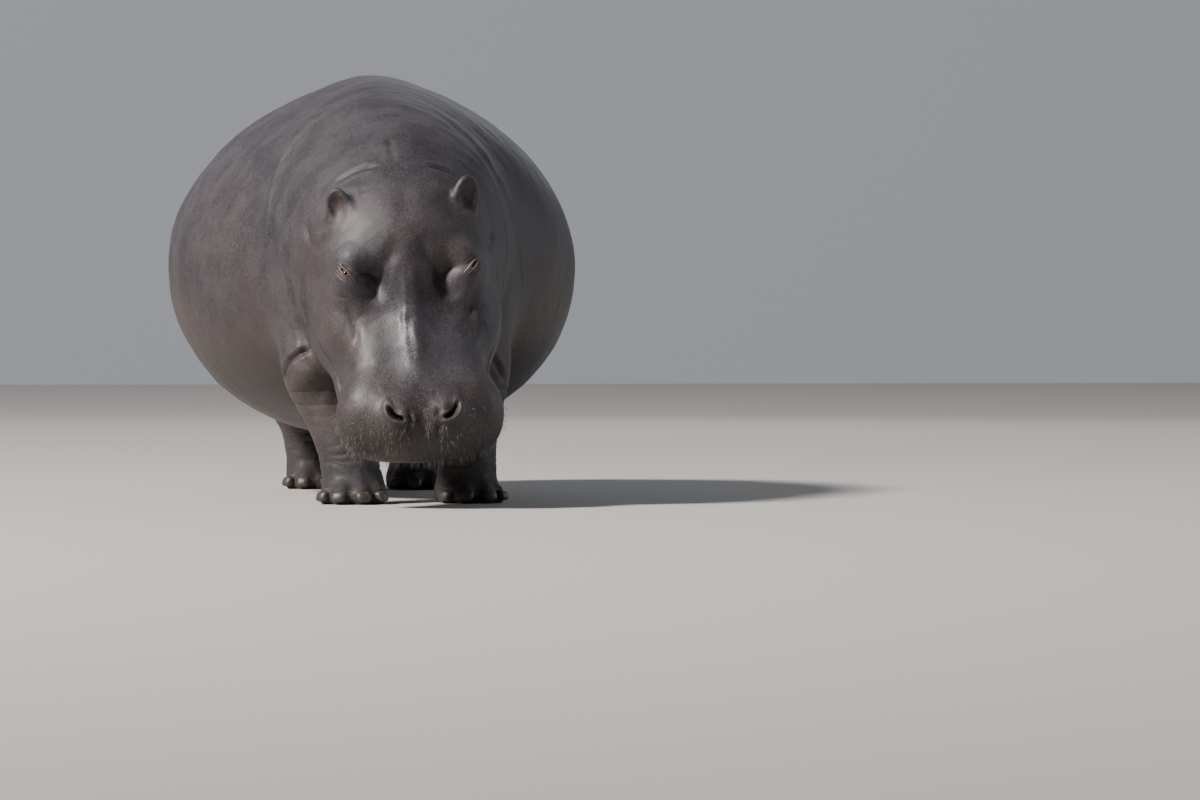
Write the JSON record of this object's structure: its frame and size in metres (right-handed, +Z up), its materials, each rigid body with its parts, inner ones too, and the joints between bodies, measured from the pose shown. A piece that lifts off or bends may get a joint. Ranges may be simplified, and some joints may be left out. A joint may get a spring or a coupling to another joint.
{
  "type": "hippopotamus",
  "caption": "Life-size standing hippopotamus as a museum model: barrel body, lowered broad head with closed mouth, short legs on flat four-toed feet.",
  "frame": {"origin": "centre of the overall bounding box in plan, at floor level under the soles", "axes": "+Z up from the floor, +Y from the head towards the tail along the body's length, +X towards the animal's left side"},
  "size_m": [1.475, 3.0432, 1.5286],
  "materials": {
    "hide": "bare wrinkled skin, dark slate grey, slightly moist",
    "eye": "dark brown, wet gloss",
    "nail": "worn horn, matt"
  },
  "bodies": {
    "root": {"trunk": "hide", "neck": "hide", "head": "hide", "muzzle": "hide", "lower_jaw": "hide", "ear_left": "hide", "ear_right": "hide", "foreleg_left": "hide", "foreleg_right": "hide", "hindleg_left": "hide", "hindleg_right": "hide", "forefoot_left": "hide", "forefoot_right": "hide", "hindfoot_left": "hide", "hindfoot_right": "hide", "tail": "hide", "eye_left": "eye", "eye_right": "eye", "forenail_left_1": "nail", "forenail_left_2": "nail", "forenail_left_3": "nail", "forenail_left_4": "nail", "forenail_right_1": "nail", "forenail_right_2": "nail", "forenail_right_3": "nail", "forenail_right_4": "nail", "hindnail_left_1": "nail", "hindnail_left_2": "nail", "hindnail_left_3": "nail", "hindnail_left_4": "nail", "hindnail_right_1": "nail", "hindnail_right_2": "nail", "hindnail_right_3": "nail", "hindnail_right_4": "nail"}
  },
  "joints": []
}
